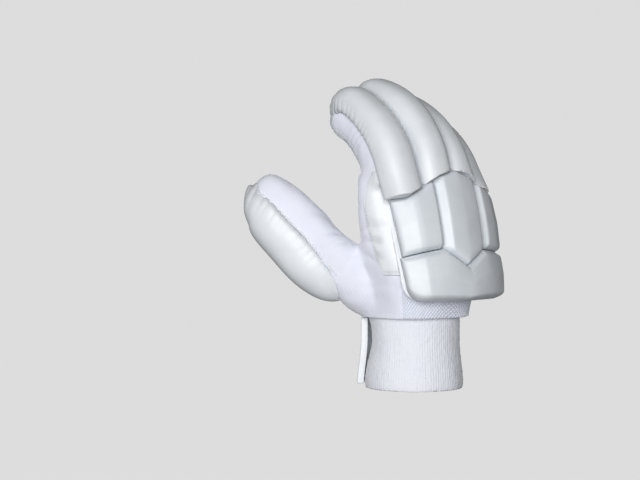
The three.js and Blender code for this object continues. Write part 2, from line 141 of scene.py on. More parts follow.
thumb = {
    "root": Vector((-28.5, 15.5, 77)), "bend": Vector((-84, 56.5, 155)), "tip": Vector((-98, 78, 166)),
    "outward": Vector((-0.6, 0.4, -0.69)), "width": 44, "depth": 41, "start": -14, "tipReach": 12,
    "tipRound": 17, "rootRound": 30,
    # its girth at root and tip, and the share of its length from which it narrows
    "girth": (1.12, 0.8), "narrows": 0.3,
}
back = {
    "width": 112, "height": 112, "foot": 15, "offset": 51.5, "shift": 2, "leans": (7, 17), "radius": 95,
    "footLine": [(-0.56, 0.02), (0, 0), (0.56, 0.02)],
    "lowerLine": [(-0.475, 0.345), (-0.14, 0.39), (0.03, 0.255), (0.225, 0.385), (0.57, 0.375)],
    "rollLine": [(-0.5, 0.79), (-0.37, 0.79), (-0.14, 0.92), (0.03, 0.98), (0.225, 0.91), (0.55, 0.8)],
}
knuckleHeight = hand["hem"] + hand["height"]
knuckleSlope = math.tan(math.radians(hand["knuckleLean"]))


def handPoint(degrees, share, out=0.0):
    # degrees: 0 towards the thumb, 90 the back, 180 the little finger's side, 270 the palm
    width, depth, behind, arch = between(hand["sections"], share)
    middle = Vector((0, -behind * hand["depth"], hand["hem"] + share * hand["height"]))
    path = Path(middle, Vector((0, 0, 1)), Vector((0, -1, 0)))
    side = width * hand["width"] / 2 + out
    half = depth * hand["depth"] / 2 + out
    return path.ring(math.radians(degrees), side, half, half, hand["power"], arch * hand["depth"])


def fingerPath(finger, along):
    y, z, lean = bendAlong(*finger["leans"], finger["length"], along)
    middle = Vector((finger["x"] + finger["spread"] * along, finger["y"] + y, knuckleHeight + z))
    run = Vector((0, math.sin(lean), math.cos(lean)))
    upright = Vector((0, -math.cos(lean), math.sin(lean)))
    return Path(middle, run, Matrix.Rotation(math.radians(finger["turn"]), 3, run) @ upright)


def sleeveSizes(finger, along, out=0.0):
    slim = finger["size"] * mixed(1, sleeve["slim"], eased(along, 0, finger["length"]))
    drawn = roundedEnd(along, finger["length"] + out, sleeve["tipRound"])
    return (sleeve["width"] / 2 * slim + out) * drawn, (sleeve["depth"] / 2 * slim + out) * drawn


def fingerPlace(finger, point):
    # Along, side and back of a point, as seen from a finger's root
    start, end = (math.radians(lean) for lean in finger["leans"])
    bend = (end - start) / finger["length"]
    y, z = point.y - finger["y"], point.z - knuckleHeight
    fromY, fromZ = y - math.cos(start) / bend, z + math.sin(start) / bend
    lean = math.atan2(fromZ, -fromY)
    if lean < start:
        along = y * math.sin(start) + z * math.cos(start)
        rise = -y * math.cos(start) + z * math.sin(start)
    elif lean > end:
        tipY, tipZ, _ = bendAlong(*finger["leans"], finger["length"], finger["length"])
        y, z = y - tipY, z - tipZ
        along = finger["length"] + y * math.sin(end) + z * math.cos(end)
        rise = -y * math.cos(end) + z * math.sin(end)
    else:
        along = (lean - start) / bend
        rise = math.hypot(fromY, fromZ) - 1 / bend
    across = finger["x"] + finger["spread"] * along - point.x
    turn = math.radians(finger["turn"])
    side = across * math.cos(turn) + rise * math.sin(turn)
    return along, side, rise * math.cos(turn) - across * math.sin(turn)


def outOf(point, path, side, rise, halfSide, halfBack):
    # A point that lies inside a section of cloth, moved out to its surface
    if halfSide < 1:
        return point
    depth = (abs(side) / halfSide) ** roundness + (abs(rise) / halfBack) ** roundness
    if depth >= 1:
        return point
    grown = max(depth, 1e-4) ** (-1 / roundness)
    return path.middle + path.side * (side * grown) + path.back * (rise * grown)


def offSleeve(finger, point, out):
    along, side, rise = fingerPlace(finger, point)
    if along < -sleeve["hiddenRoot"] or along > finger["length"] + out:
        return point
    return outOf(point, fingerPath(finger, along), side, rise, *sleeveSizes(finger, along, out))


def thumbCurve(count):
    # Lengths, places and directions along the thumb's middle line
    root, bend, tip = thumb["root"], thumb["bend"], thumb["tip"]
    steps = []
    for step in range(count + 1):
        share = step / count
        spot = root * (1 - share) ** 2 + bend * (2 * share * (1 - share)) + tip * share**2
        way = ((bend - root) * (1 - share) + (tip - bend) * share).normalized()
        length = steps[-1][0] + (spot - steps[-1][1]).length if steps else 0.0
        steps.append((length, spot, way))
    return steps


thumbSteps = thumbCurve(200)
thumbLength = thumbSteps[-1][0]


def thumbPath(along):
    inside = clamped(along, 0, thumbLength)
    place = next(i for i in range(1, len(thumbSteps)) if thumbSteps[i][0] >= inside - 1e-9)
    low, high = thumbSteps[place - 1], thumbSteps[place]
    share = (inside - low[0]) / (high[0] - low[0])
    run = low[2].lerp(high[2], share).normalized()
    return Path(low[1].lerp(high[1], share) + run * (along - inside), run, thumb["outward"])


def thumbSizes(along, out=0.0):
    end, start = thumbLength + thumb["tipReach"] + out, thumb["start"] - out
    slim = mixed(*thumb["girth"], eased(along, thumb["narrows"] * thumbLength, thumbLength))
    drawn = roundedEnd(along, end, thumb["tipRound"]) * roundedEnd(-along, -start, thumb["rootRound"])
    return (thumb["depth"] / 2 * slim + out) * drawn, (thumb["width"] / 2 * slim + out) * drawn


def thumbPlace(point):
    # Along, side and back of a point, as seen from the thumb's root
    along, closest = 0.0, 1e9
    for length, spot, _ in thumbSteps[::4]:
        apart = (point - spot).length
        if apart < closest:
            along, closest = length, apart
    for _ in range(3):
        path = thumbPath(along)
        along += (point - path.middle).dot(path.run)
    path = thumbPath(along)
    return along, (point - path.middle).dot(path.side), (point - path.middle).dot(path.back)


def offThumb(point, out):
    along, side, rise = thumbPlace(point)
    if along < thumb["start"] or along > thumbLength + thumb["tipReach"] + out:
        return point
    return outOf(point, thumbPath(along), side, rise, *thumbSizes(along, out))


def backPoint(u, v, out):
    # The point that is so far across and up the arched back of the hand, and so far out from it
    y, z, lean = bendAlong(*back["leans"], back["height"], v)
    outward = Vector((0, -math.cos(lean), math.sin(lean)))
    turn = u / back["radius"]
    middle = Vector((back["shift"], y - back["offset"], hand["hem"] + back["foot"] + z))
    reach = back["radius"] + out
    rise = reach * math.cos(turn) - back["radius"]
    return middle + outward * rise + Vector((reach * math.sin(turn), 0, 0))


def backPlace(point):
    # Across and up the arched back of the hand, and out from it, for a point
    start, end = (math.radians(lean) for lean in back["leans"])
    bend = (end - start) / back["height"]
    y = point.y + back["offset"] - math.cos(start) / bend
    z = point.z - hand["hem"] - back["foot"] + math.sin(start) / bend
    v = (math.atan2(z, -y) - start) / bend
    rise = math.hypot(y, z) - 1 / bend + back["radius"]
    x = point.x - back["shift"]
    return math.atan2(x, rise) * back["radius"], v, math.hypot(x, rise) - back["radius"]


def lineAt(line, u):
    # How far up the back one of its lines runs, at a place across it
    share = clamped(u / back["width"], line[0][0], line[-1][0])
    for low, high in zip(line, line[1:]):
        if share <= high[0]:
            break
    return mixed(low[1], high[1], (share - low[0]) / (high[0] - low[0])) * back["height"]


# Making pieces


def ball(bm, around, along, place):
    # A sphere whose turns run round a piece and whose poles are its ends
    made = bmesh.ops.create_uvsphere(bm, u_segments=around, v_segments=along, radius=1)
    for corner in made["verts"]:
        angle = math.atan2(corner.co.y, corner.co.x)
        corner.co = place(angle, 0.5 + math.asin(clamped(corner.co.z, -1, 1)) / math.pi)


def plate(columns, rows, place):
    # A closed plate with one column and one row for each number.
    # place gives its lower (0) and upper (1) points.
    bm = bmesh.new()
    bmesh.ops.create_grid(bm, x_segments=len(columns) - 1, y_segments=len(rows) - 1, size=0.5)
    made = bmesh.ops.extrude_face_region(bm, geom=bm.faces[:])
    upper = {part for part in made["geom"] if isinstance(part, bmesh.types.BMVert)}
    for corner in bm.verts:
        x = columns[round((corner.co.x + 0.5) * (len(columns) - 1))]
        y = rows[round((corner.co.y + 0.5) * (len(rows) - 1))]
        corner.co = place(x, y, 1 if corner in upper else 0)
    bmesh.ops.recalc_face_normals(bm, faces=bm.faces[:])
    return bm


def evenly(start, end, count):
    return [mixed(start, end, i / count) for i in range(count + 1)]


def linked(name, data):
    thing = bpy.data.objects.new(name, data)
    bpy.context.collection.objects.link(thing)
    return thing


def taken(thing):
    # The mesh of an object as its modifiers leave it. The object goes.
    mesh = bpy.data.meshes.new_from_object(thing.evaluated_get(bpy.context.evaluated_depsgraph_get()))
    bpy.data.objects.remove(thing)
    bm = bmesh.new()
    bm.from_mesh(mesh)
    bpy.data.meshes.remove(mesh)
    return bm


def relaxed(bm, corners):
    bmesh.ops.smooth_vert(bm, verts=corners, factor=0.5, use_axis_x=True, use_axis_y=True, use_axis_z=True)


def softened(bm, voxel, rounds):
    # The same form in even small faces, with its edges rounded over
    form = linked("form", bpy.data.meshes.new("form"))
    bm.to_mesh(form.data)
    bm.free()
    change = form.modifiers.new("even", "REMESH")
    change.mode = "VOXEL"
    change.voxel_size = voxel
    bm = taken(form)
    for _ in range(rounds):
        relaxed(bm, bm.verts)
    bm.normal_update()
    return bm


def spun(line, steps, closed=False):
    # A profile of (radius, height) places, turned round the upright axis
    bm = bmesh.new()
    corners = [bm.verts.new((radius, 0, height)) for radius, height in line]
    following = corners[1:] + corners[:1] if closed else corners[1:]
    edges = [bm.edges.new(pair) for pair in zip(corners, following)]
    bmesh.ops.spin(
        bm, geom=corners + edges, cent=(0, 0, 0), axis=(0, 0, 1), angle=2 * math.pi, steps=steps,
        use_merge=True,
    )
    return bm


def bevelled(bm, sharpness, offset, segments):
    # Rounds over the edges that turn by more than sharpness, in radians
    edges = [edge for edge in bm.edges if edge.calc_face_angle(0) > sharpness]
    bmesh.ops.bevel(
        bm, geom=edges, affect="EDGES", offset=offset, segments=segments, profile=0.5, material=-1
    )


def pushed(bm, amount):
    # Moves each point along its normal by what amount gives for it, in millimetres
    moves = [(corner, corner.normal * amount(corner.co, corner.normal)) for corner in bm.verts]
    for corner, move in moves:
        corner.co += move
    bm.normal_update()


def shadeAndTone(bm, value=lambda point: 0.0):
    # Keeps how far each point's colour is darkened, which the piece's finish reads. A value that grows into
    # hollows and low edges is painted shade; one value everywhere is an even tone.
    layer = bm.verts.layers.float.new("crease")
    for corner in bm.verts:
        corner[layer] = value(corner.co)


def meshed(name, bm, finish):
    for face in bm.faces:
        face.smooth = True
    mesh = bpy.data.meshes.new(name)
    bm.to_mesh(mesh)
    bm.free()
    mesh.materials.append(finish)
    return linked(name, mesh)


def finished(name, bm, finish, nodes=()):
    # A piece in metres, on the glove's one body
    bmesh.ops.scale(bm, vec=(0.001, 0.001, 0.001), verts=bm.verts)
    piece = meshed(name, bm, finish)
    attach(piece, "root")
    if nodes:
        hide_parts(*nodes)
    return piece


# Finishes


class Wire:
    # A shader socket that takes sums
    def __init__(self, finish, socket):
        self.finish = finish
        self.socket = socket

    def math(self, operation, *values):
        return self.finish.node("Math", {"operation": operation}, dict(enumerate((self, *values))))

    def __add__(self, other):
        return self.math("ADD", other)

    def __mul__(self, other):
        return self.math("MULTIPLY", other)

    __radd__ = __add__
    __rmul__ = __mul__


class Finish:
    def __init__(self, name, roughness, sheen=0.0, coat=0.0, specular=0.5):
        self.material = bpy.data.materials.new(name)
        self.material.use_nodes = True
        self.tree = self.material.node_tree
        self.shader = self.tree.nodes["Principled BSDF"]
        self.shader.inputs["Roughness"].default_value = roughness
        self.shader.inputs["Sheen Weight"].default_value = sheen
        self.shader.inputs["Sheen Roughness"].default_value = 0.5
        self.shader.inputs["Coat Weight"].default_value = coat
        self.shader.inputs["Coat Roughness"].default_value = 0.3
        self.shader.inputs["Specular IOR Level"].default_value = specular
        self.spot = self.node("TexCoord", {}, {}, "Object")

    def feed(self, socket, value):
        if isinstance(value, Wire):
            self.tree.links.new(value.socket, socket)
        else:
            socket.default_value = value

    def node(self, kind, settings, sockets, out=0):
        made = self.tree.nodes.new("ShaderNode" + kind)
        for key, value in settings.items():
            setattr(made, key, value)
        for key, value in sockets.items():
            self.feed(made.inputs[key], value)
        return Wire(self, made.outputs[out])

    def set(self, socket, value):
        self.feed(self.shader.inputs[socket], value)

    def noise(self, size, detail):
        # size in millimetres
        return self.node("TexNoise", {}, {"Vector": self.spot, "Scale": 1000 / size, "Detail": detail}, "Fac")

    def cells(self, size, feature="F1", stretch=(1, 1, 1)):
        scaled = self.node("Mapping", {}, {"Vector": self.spot, "Scale": stretch})
        sockets = {"Vector": scaled, "Scale": 1000 / size}
        return self.node("TexVoronoi", {"feature": feature}, sockets, "Distance")

    def part(self, axis):
        return self.node("SeparateXYZ", {}, {"Vector": self.spot}, axis)

    def ribs(self, count):
        # Ridges round the upright axis
        return (self.part("Y").math("ARCTAN2", self.part("X")) * count).math("SINE") * 0.5 + 0.5

    def stepped(self, value, low, high):
        sockets = {"Value": value, "From Min": low, "From Max": high}
        return self.node("MapRange", {"interpolation_type": "SMOOTHSTEP"}, sockets)

    def blend(self, share, a, b):
        mix = self.node("Mix", {"data_type": "RGBA"}, {"Factor": share}, 2)
        made = mix.socket.node
        self.feed(made.inputs[6], a)
        self.feed(made.inputs[7], b)
        return mix

    def bumps(self, height, depth):
        # depth in millimetres for a height of one
        bump = self.node("Bump", {}, {"Height": height, "Distance": depth / 1000, "Strength": 1.0}, "Normal")
        self.set("Normal", bump)


def leatherFinish(name, base, soiledAndShaded, grain=0.9, depth=0.05, roughness=0.42):
    finish = Finish(name, roughness, coat=0.1)
    broad = finish.noise(22, 4)
    # The kept crease value is painted shade in hollows, by seams and along low edges. The broad noise adds
    # random wear. Both draw the colour towards the soiled and shaded tone.
    crease = finish.node("Attribute", {"attribute_name": "crease"}, {}, "Fac")
    worn = finish.stepped(broad, 0.35, 0.75) * 0.12 + crease * 0.8
    finish.set("Base Color", finish.blend(worn, (*base, 1), (*soiledAndShaded, 1)))
    finish.set("Roughness", finish.noise(7, 3) * 0.12 + (roughness - 0.06) + crease * 0.12)
    pebbles = finish.cells(grain, "SMOOTH_F1")
    fine = finish.noise(grain * 0.5, 2)
    finish.bumps(pebbles * 0.7 + fine * 0.5, depth)
    return finish.material


def clothFinish(name, base, shade, pitch=0.7, depth=0.05, ribs=None):
    # ribs: how many round the glove, how high up they end, in metres, and how strong they are
    finish = Finish(name, 0.85, sheen=0.35, specular=0.3)
    broad = finish.noise(30, 3)
    crease = finish.node("Attribute", {"attribute_name": "crease"}, {}, "Fac")
    # The colour draws towards the shade colour in broad random patches, and by the kept crease value, which
    # is painted shade in hollows where a piece keeps it
    shadow = finish.stepped(broad, 0.3, 0.8) * 0.4 + crease * 0.7
    finish.set("Base Color", finish.blend(shadow, (*base, 1), (*shade, 1)))
    weave = finish.cells(pitch, "F1", (1, 1, 0.7)) + finish.noise(pitch * 0.6, 2) * 0.6
    if ribs:
        count, top, strength = ribs
        weave = weave + finish.ribs(count) * finish.stepped(finish.part("Z"), top, top - 0.02) * strength
    finish.bumps(weave, depth)
    return finish.material


whiteLeather = leatherFinish("coated_leather", (0.76, 0.79, 0.82), (0.3, 0.33, 0.36))
padLeather = leatherFinish("pad_leather", (0.69, 0.73, 0.77), (0.26, 0.29, 0.33))
palmLeather = leatherFinish("palm_leather", (0.6, 0.64, 0.66), (0.3, 0.33, 0.35), 1.1, 0.07, 0.6)
handCloth = clothFinish("stretch_cloth", (0.78, 0.8, 0.89), (0.66, 0.69, 0.8), ribs=(170, 0.098, 3))
knitCloth = clothFinish("waffle_knit", (0.74, 0.77, 0.85), (0.62, 0.65, 0.75))
terry = clothFinish("towelling", (0.8, 0.82, 0.88), (0.72, 0.75, 0.84), 1.2, 0.2, ribs=(110, 1, 0.7))
thread = clothFinish("thread", (0.82, 0.83, 0.86), (0.7, 0.72, 0.76), 0.4, 0.02)
print("glove: finishes made")

# Cloth of the hand, the fingers and the thumb, in one skin


clothLook = {
    "voxel": 1.75, "rounds": 5, "wall": 1.3, "folds": 1.05, "hemCut": 61.2, "handEnds": (-0.06, 1.16),
    # the hollow between thumb and hand: how deep, where along the thumb and how long
    "hollow": (8, 60, 30),
}
foldLook = {
    # size, height and seed
    "waves": ((14, 0.55, 0), (6, 0.22, 3)),
    "rays": {"count": 5.5, "wander": 2.4, "sharp": 0.7, "away": 22, "high": 1.3},
    "knuckles": {"above": 165, "reach": 16, "at": 0.42, "over": 0.16, "every": 1.1, "high": 0.4},
    "slack": {"at": 88, "over": 14, "size": 7, "high": 0.6},
    # heights over which all folds begin, above the hem
    "begin": (62, 72),
}
# places where the cloth is drawn smooth between two forms: middle, reach, rounds
webs = [(Vector((-49, 20, 128)), 30, 60), (Vector((-58, 2, 176)), 24, 28), (Vector((57, 6, 178)), 18, 14)]


def clothForm():
    bm = bmesh.new()

    def handPlace(angle, share):
        point = handPoint(math.degrees(angle), mixed(*clothLook["handEnds"], share))
        ceiling = knuckleHeight - point.y * knuckleSlope
        if share in (0, 1):
            point.x = point.y = 0
        point.z = min(point.z, ceiling)
        return point

    ball(bm, 96, 80, handPlace)
    for finger in fingers.values():

        def sleevePlace(angle, share, finger=finger):
            along = mixed(-sleeve["rootReach"], finger["length"], math.sin(share * math.pi / 2))
            side, rise = sleeveSizes(finger, along)
            if share == 0:
                side = rise = 0
            return fingerPath(finger, along).ring(angle, side, rise, rise)

        ball(bm, 48, 48, sleevePlace)

    def thumbRing(angle, share):
        along = mixed(thumb["start"], thumbLength + thumb["tipReach"], 0.5 - 0.5 * math.cos(share * math.pi))
        side, rise = thumbSizes(along)
        deep, middle, length = clothLook["hollow"]
        web = deep * math.exp(-(((along - middle) / length) ** 2))
        return thumbPath(along).ring(angle, side, rise, max(rise - web, 0.5 * rise))

    ball(bm, 64, 64, thumbRing)
    return bm


def makeCloth():
    # The cloth, and its surface before the folds, which the stiff side panel lies on
    bm = softened(clothForm(), clothLook["voxel"], clothLook["rounds"])
    for middle, reach, rounds in webs:
        for turn in range(rounds):
            near = reach * (1 - 0.6 * turn / rounds)
            relaxed(bm, [corner for corner in bm.verts if (corner.co - middle).length < near])
    bm.normal_update()
    plain = BVHTree.FromBMesh(bm)
    crotch = webs[0][0]

    def folds(point, normal):
        # Soft waves, rays from the thumb's crotch, creases over the bent knuckles and slack above the hem
        tall = Vector((point.x, point.y, point.z * 0.3))
        soft = sum(ripple(tall, size, seed) * high for size, high, seed in foldLook["waves"])
        ray, knuckle, slack = foldLook["rays"], foldLook["knuckles"], foldLook["slack"]
        away = ((point - crotch).length - ray["away"]) / ray["away"]
        fan = math.atan2(point.z - crotch.z, point.x - crotch.x + 0.5 * (point.y - crotch.y))
        turn = fan * ray["count"] + ray["wander"] * ripple(point, 24)
        rays = ray["high"] * (0.5 - abs(math.sin(turn)) ** ray["sharp"]) * math.exp(-(away**2))
        bent = 0.0
        for finger in fingers.values():
            if point.z > knuckle["above"] and abs(point.x - finger["x"]) < knuckle["reach"]:
                along = fingerPlace(finger, point)[0]
                off = (along / finger["length"] - knuckle["at"]) / knuckle["over"]
                crease = math.sin(along * knuckle["every"] + 1.5 * ripple(point, 8, 2))
                bent = crease * math.exp(-off * off) * knuckle["high"]
        flat = (point.x * 0.4, point.y * 0.4, point.z)
        low = math.exp(-(((point.z - slack["at"]) / slack["over"]) ** 2))
        low *= ripple(flat, slack["size"], 6) * slack["high"]
        return clothLook["folds"] * (soft + bent + low - rays) * eased(point.z, *foldLook["begin"])

    pushed(bm, folds)
    everything = bm.verts[:] + bm.edges[:] + bm.faces[:]
    bmesh.ops.bisect_plane(
        bm, geom=everything, plane_co=(0, 0, clothLook["hemCut"]), plane_no=(0, 0, 1), clear_inner=True
    )
    return bm, plain


cloth, plainTree = makeCloth()
clothTree = BVHTree.FromBMesh(cloth)
skin = finished(
    "hand_cloth", cloth, handCloth,
    ["hand_shell", "thumb_sleeve"] + [f"{name}_finger_sleeve" for name in fingers],
)
wall = skin.modifiers.new("wall", "SOLIDIFY")
wall.thickness = clothLook["wall"] / 1000
wall.offset = -1
print("glove: cloth made")

# Padded rolls on the fingers

rollLook = {
    "width": 33.5, "height": 33, "seam": 13, "tipReach": 3, "tipRound": 24, "rootReach": 34, "power": 2.5,
    # width and height at the tip, as shares, and how far it reaches down below its seam and at the tip
    "tipWidth": 0.94, "tipHeight": 0.95, "flank": 4, "tipFlank": 16,
    # space between rolls, to each side, and over the cloth
    "apart": 0.2, "clear": 0.4,
    "voxel": 0.85, "rounds": 2, "gather": 1.25,
    # how far from a finger's end its tip is wrapped
    "wrap": (22, 4),
    # how far the three meetings between rolls drift to the thumb's side, up to a place along the finger
    "drift": (1.5, 4.5, 3), "driftEnd": 50,
    # the ends by the back's blocks: space to them, and how far the ends run in under them above a height
    "space": 0.9, "undercut": 2.6, "undercutFrom": (7, 14),
}
pleatLook = {
    # pleats along a roll's seams: how often, how slanted, how much they wander and how sharp
    "every": 0.62, "slant": 2.6, "wander": 2.4, "wanderSize": 14, "middle": 0.55, "sharp": 0.6,
    # where they fade: up from below the seam, along the finger, and to the ridge
    "below": 5, "height": 15, "along": (6, 30), "side": (6, 13),
    # spokes round the tip: how many, how high, and how far from the end
    "spokes": 4, "spokeHigh": 0.45, "tip": (24, 4),
    # soft waves: size and height
    "waves": (18, 0.35),
}


def rollPoint(finger, angle, along):
    end = finger["length"] + rollLook["tipReach"]
    path = fingerPath(finger, along)
    wrap = eased(along, *(finger["length"] - reach for reach in rollLook["wrap"]))
    size = finger["size"] * roundedEnd(along, end, rollLook["tipRound"])
    height, seam = rollLook["height"], rollLook["seam"]
    side = size * rollLook["width"] / 2 * mixed(1, rollLook["tipWidth"], eased(along, 0, finger["length"]))
    rise = size * (mixed(height, height * rollLook["tipHeight"], eased(along, 0, end)) - seam)
    palm = size * mixed(rollLook["flank"], rollLook["tipFlank"], wrap)
    path.middle = path.middle + path.back * (seam * size)
    return path.ring(angle, side, rise, palm, rollLook["power"])


def makeRoll(name):
    finger = fingers[name]
    names = list(fingers)
    place = names.index(name)
    end, start = finger["length"] + rollLook["tipReach"], -rollLook["rootReach"]

    def meeting(first, along):
        # Where a roll meets the next one
        if first < 0 or first > 2:
            return None
        other = fingers[names[first]]
        drift = rollLook["drift"][first] * eased(along, 0, rollLook["driftEnd"])
        return other["x"] + rollLook["width"] / 2 * other["size"] + rollLook["apart"] - drift

    def rollPlace(angle, share):
        along = mixed(start, end, math.sin(share * math.pi / 2) ** 0.9) if share > 0 else start
        point = rollPoint(finger, angle, along)
        if share == 0:
            point = fingerPath(finger, start).middle + fingerPath(finger, start).back * 20
        u, v, out = backPlace(point)
        under = rollLook["undercut"] * eased(out, *rollLook["undercutFrom"])
        limit = lineAt(back["rollLine"], u) + rollLook["space"] - under
        if v < limit:
            point = backPoint(u, limit, out)
        near, far = meeting(place - 1, along), meeting(place, along)
        if near is not None:
            point.x = max(point.x, near + rollLook["apart"])
        if far is not None:
            point.x = min(point.x, far - rollLook["apart"])
        for each in fingers.values():
            point = offSleeve(each, point, rollLook["clear"])
        return point

    bm = bmesh.new()
    ball(bm, 72, 96, rollPlace)
    bm = softened(bm, rollLook["voxel"], rollLook["rounds"])

    def gathers(point, normal):
        # Pleats along the seams and spokes round the tip
        along, side, rise = fingerPlace(finger, point)
        look, sharp = pleatLook, pleatLook["sharp"]
        height = (rise - rollLook["seam"] * finger["size"] + look["below"]) / look["height"]
        fade = clamped(1 - height) ** 1.3 * eased(along, *look["along"]) * eased(abs(side), *look["side"])
        wander = look["wander"] * ripple((along, side, 0), look["wanderSize"], place)
        turn = along * look["every"] - clamped(height) * look["slant"] + wander
        pleats = look["middle"] - abs(math.sin(turn)) ** sharp
        tip = eased(along, *(end - reach for reach in look["tip"]))
        around = math.atan2(side, rise - rollLook["seam"])
        spokes = 0.5 - abs(math.sin(around * look["spokes"] + 1.5 * ripple(point, 9))) ** sharp
        size, high = look["waves"]
        soft = ripple((along, side * 0.6, rise), size, place) * high
        return rollLook["gather"] * (-pleats * fade - spokes * tip * look["spokeHigh"] + soft * 0.4)

    pushed(bm, gathers)

    # Painted shade, darker low on the roll by its seam, where it meets the cloth
    def paintedShade(point):
        rise = fingerPlace(finger, point)[2]
        return 0.6 * clamped(1 - (rise - rollLook["seam"] * finger["size"] + 3) / 6)

    shadeAndTone(bm, paintedShade)
    piece = finished(f"{name}_roll", bm, whiteLeather, [f"{name}_finger_roll"])


for name in fingers:
    makeRoll(name)
print("glove: finger rolls made")

# Padded roll on the thumb

thumbPad = {
    "width": 45, "height": 42, "seam": 14, "start": 18, "tipReach": 16, "voxel": 0.9, "rounds": 4,
    # how far its ends are drawn in, and how squarely
    "tipRound": (58, 3.4), "footRound": (40, 2.1),
    # how much further out the seam is at the foot, and further in at the tip
    "seamFoot": 4.5, "seamTip": 3.2,
    # from and to how far past the thumb's length the tip is wrapped, and its shares of width and height
    "wrap": (-24, 6), "tipWidth": 0.86, "tipHeight": 0.89,
    # how far it bellies out, where along the thumb, as a share, and over what length
    "belly": (1.6, 0.56, 24),
    # how far it reaches down below its seam, and at the tip
    "flank": 6, "tipFlank": 11, "power": 2.3, "clear": 0.4, "gather": 1.0,
    # pleats along its seams: how often, how much they wander, where they fade: out from a rise, and along it
    "pleats": {"every": 0.42, "wander": 2.2, "sharp": 0.6, "above": 8, "over": 7, "along": (24, 40)},
    # the piping: radius, how far below the seam, where it starts and how far past the thumb's length it ends
    "piping": 0.75, "pipingBelow": 4.5, "pipingEnds": (38, 2),
}


def thumbSeam(along):
    # How far out from the thumb's middle line the pad is sewn on
    foot = thumbPad["seamFoot"] * (1 - eased(along, 25, 95))
    return thumbPad["seam"] + foot - thumbPad["seamTip"] * eased(along, 0.7 * thumbLength, thumbLength)


def makeThumbPad():
    start, end = thumbPad["start"], thumbLength + thumbPad["tipReach"]
    (tip, tipPower), (foot, footPower) = thumbPad["tipRound"], thumbPad["footRound"]

    def padPlace(angle, share):
        along = mixed(start, end, 0.5 - 0.5 * math.cos(share * math.pi))
        path = thumbPath(along)
        into = clamped((along - end + tip) / tip, 0, 0.998)
        out = clamped((start + foot - along) / foot, 0, 0.998)
        seam = thumbSeam(along)
        drawn = math.sqrt(1 - into**tipPower) * math.sqrt(1 - out**footPower)
        wrap = eased(along, *(thumbLength + past for past in thumbPad["wrap"]))
        high, middle, length = thumbPad["belly"]
        belly = high * math.exp(-(((along - middle * thumbLength) / length) ** 2))
        tall = (thumbPad["height"] - seam) * mixed(1, thumbPad["tipHeight"], eased(along, 50, end))
        palm = mixed(thumbPad["flank"], thumbPad["tipFlank"], wrap) * drawn
        side = thumbPad["width"] / 2 * mixed(1, thumbPad["tipWidth"], wrap) * drawn
        path.middle = path.middle + path.back * (seam * mixed(1, drawn, wrap))
        point = path.ring(angle, side, (tall + belly) * drawn, palm, thumbPad["power"])
        return offThumb(point, thumbPad["clear"])

    bm = bmesh.new()
    ball(bm, 80, 96, padPlace)
    bm = softened(bm, thumbPad["voxel"], thumbPad["rounds"])
    pleat = thumbPad["pleats"]

    def gathers(point, normal):
        along, side, rise = thumbPlace(point)
        near = math.exp(-clamped(rise - pleat["above"], 0, 99) / pleat["over"])
        turn = along * pleat["every"] + pleat["wander"] * ripple((along, side, 0), 13, 5)
        pleats = 0.5 - abs(math.sin(turn)) ** pleat["sharp"]
        soft = 0.3 * ripple((along * 0.6, side, rise), 15, 7)
        return soft - thumbPad["gather"] * pleats * near * eased(along, *pleat["along"])

    pushed(bm, gathers)
    # Painted shade, darker low on the pad by its seam
    shadeAndTone(bm, lambda point: 0.3 * clamped(1 - (thumbPlace(point)[2] - pleat["above"]) / 6))
    piece = finished("thumb_roll", bm, whiteLeather, ["thumb_pad"])


makeThumbPad()


def tube(name, paths, radius, finish, rounds=3):
    # Round threads along lines of points
    curve = bpy.data.curves.new(name, "CURVE")
    curve.dimensions = "3D"
    curve.bevel_depth = radius
    curve.bevel_resolution = rounds
    curve.use_fill_caps = True
    for path in paths:
        line = curve.splines.new("POLY")
        line.points.add(len(path) - 1)
        for place, point in zip(line.points, path):
            place.co = (*point, 1)
    bm = taken(linked(name, curve))
    shadeAndTone(bm)
    finished(name, bm, finish)


def makePiping():
    # On the cloth beside each of the pad's seams
    first, last = thumbPad["pipingEnds"]
    lines = []
    for way in (-1, 1):
        line = []
        for along in evenly(first, thumbLength + last, 80):
            path = thumbPath(along)
            halfSide, halfBack = thumbSizes(along, 0.5)
            rise = min(thumbSeam(along) - thumbPad["pipingBelow"], 0.9 * halfBack)
            side = halfSide * (1 - (rise / halfBack) ** roundness) ** (1 / roundness)
            line.append(path.middle + path.side * (way * side) + path.back * rise)
        lines.append(line)
    tube("thumb_piping", lines, thumbPad["piping"], whiteLeather)


makePiping()
print("glove: thumb roll made")

# Base panel and padded blocks on the back of the hand

blockLook = {
    "thick": 15, "crown": 15.6, "shoulder": 14.4, "edge": 9.5, "thumbEdge": 8, "roundEdge": 5, "foot": 0.03,
    "endBevel": 3.2, "gap": 0.7, "step": 0.75, "rounds": 2, "corner": 13,
    # the pucker of the stitches: how high, how often, up to which rise, and over what rise it fades
    "pucker": 0.14, "every": 1.3, "below": 5, "over": 3,
}
